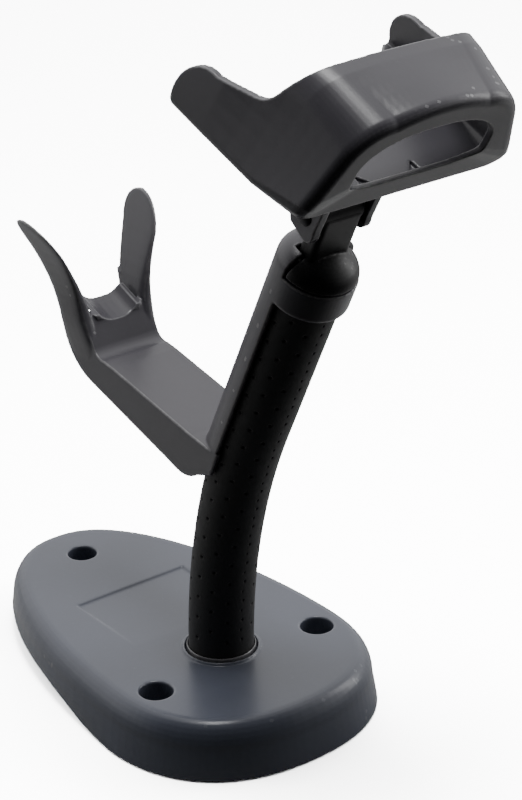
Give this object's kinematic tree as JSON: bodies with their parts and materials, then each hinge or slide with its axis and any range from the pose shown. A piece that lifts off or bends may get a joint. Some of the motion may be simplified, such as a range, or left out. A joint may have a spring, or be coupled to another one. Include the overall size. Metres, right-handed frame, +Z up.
{
  "type": "barcode scanner stand",
  "caption": "Hands-free gooseneck stand for a handheld barcode scanner: weighted egg-shaped base, flexible neck, forked handle cradle and tilting head cup.",
  "frame": {"origin": "where the gooseneck's centre line meets the counter, on the plane of the rubber feet", "axes": "+X the way the scanner looks, towards the base's broad end; +Y across; +Z up"},
  "size_m": [0.2376, 0.1102, 0.2786],
  "materials": {
    "slate_plastic": "satin moulded plastic, fine texture",
    "charcoal_plastic": "fine textured, matt",
    "black_plastic": "satin black",
    "soft_black": "matt soft-touch sleeve",
    "foot_rubber": "matt",
    "plated_steel": "zinc plated",
    "black_steel": "black oxide",
    "cast_weight": "plain",
    "wound_steel": "wound wire"
  },
  "bodies": {
    "base": {"base_shell": "slate_plastic", "ballast_plate": "cast_weight", "ballast_screws": "plated_steel", "bottom_cover": "charcoal_plastic", "cover_screws": "plated_steel", "rubber_feet": "foot_rubber", "foot_bush": "charcoal_plastic", "lower_ferrule": "plated_steel", "lock_washer": "plated_steel", "lock_nut": "plated_steel", "sleeve_foot": "soft_black", "core_foot": "wound_steel"},
    "gooseneck_link_1": {"sleeve_link_1": "soft_black", "core_link_1": "wound_steel"},
    "gooseneck_link_2": {"sleeve_link_2": "soft_black", "core_link_2": "wound_steel"},
    "gooseneck_link_3": {"sleeve_link_3": "soft_black", "core_link_3": "wound_steel"},
    "gooseneck_link_4": {"sleeve_link_4": "soft_black", "core_link_4": "wound_steel"},
    "gooseneck_link_5": {"sleeve_link_5": "soft_black", "core_link_5": "wound_steel"},
    "gooseneck_link_6": {"sleeve_link_6": "soft_black", "core_link_6": "wound_steel"},
    "gooseneck_link_7": {"sleeve_link_7": "soft_black", "core_link_7": "wound_steel"},
    "neck_top": {"sleeve_link_8": "soft_black", "core_link_8": "wound_steel", "sleeve_link_9": "soft_black", "core_link_9": "wound_steel", "sleeve_top": "soft_black", "core_top": "wound_steel", "upper_ferrule": "plated_steel", "cradle_arm": "charcoal_plastic", "neck_stalk": "black_plastic", "neck_set_screw": "plated_steel"},
    "cup": {"scanner_cup": "charcoal_plastic", "hinge_bolt": "black_steel", "hinge_nut": "black_steel", "friction_washers": "foot_rubber"}
  },
  "joints": [
    {"name": "neck_sway_1", "type": "hinge", "parent": "base", "child": "gooseneck_link_1", "pos_m": [0.00031, 0, 0.03399], "axis": [0.9986, 0, -0.0522], "range_deg": [-6.5, 6.5]},
    {"name": "neck_bend_1", "type": "hinge", "parent": "gooseneck_link_1", "child": "gooseneck_link_2", "pos_m": [0.00102, 0, 0.04367], "axis": [0, 1, 0], "range_deg": [-7.5, 5]},
    {"name": "neck_sway_2", "type": "hinge", "parent": "gooseneck_link_2", "child": "gooseneck_link_3", "pos_m": [0.00214, 0, 0.0533], "axis": [0.9907, 0, -0.1361], "range_deg": [-6.5, 6.5]},
    {"name": "neck_bend_2", "type": "hinge", "parent": "gooseneck_link_3", "child": "gooseneck_link_4", "pos_m": [0.00366, 0, 0.06288], "axis": [0, 1, 0], "range_deg": [-7.5, 5]},
    {"name": "neck_sway_3", "type": "hinge", "parent": "gooseneck_link_4", "child": "gooseneck_link_5", "pos_m": [0.00559, 0, 0.07239], "axis": [0.9757, 0, -0.2191], "range_deg": [-6.5, 6.5]},
    {"name": "neck_bend_3", "type": "hinge", "parent": "gooseneck_link_5", "child": "gooseneck_link_6", "pos_m": [0.00791, 0, 0.08181], "axis": [0, 1, 0], "range_deg": [-7.5, 5]},
    {"name": "neck_sway_4", "type": "hinge", "parent": "gooseneck_link_6", "child": "gooseneck_link_7", "pos_m": [0.01063, 0, 0.09112], "axis": [0.9538, 0, -0.3005], "range_deg": [-6.5, 6.5]},
    {"name": "neck_bend_4", "type": "hinge", "parent": "gooseneck_link_7", "child": "neck_top", "pos_m": [0.01374, 0, 0.1003], "axis": [0, 1, 0], "range_deg": [-7.5, 5]},
    {"name": "cup_tilt", "type": "hinge", "parent": "neck_top", "child": "cup", "pos_m": [0.0667, 0, 0.21718], "axis": [0, 1, 0], "range_deg": [-40, 40]}
  ],
  "couplings": [
    {"joint": "neck_sway_2", "follows": "neck_sway_1", "ratio": 1},
    {"joint": "neck_bend_2", "follows": "neck_bend_1", "ratio": 1},
    {"joint": "neck_sway_3", "follows": "neck_sway_1", "ratio": 1},
    {"joint": "neck_bend_3", "follows": "neck_bend_1", "ratio": 1},
    {"joint": "neck_sway_4", "follows": "neck_sway_1", "ratio": 1},
    {"joint": "neck_bend_4", "follows": "neck_bend_1", "ratio": 1}
  ]
}
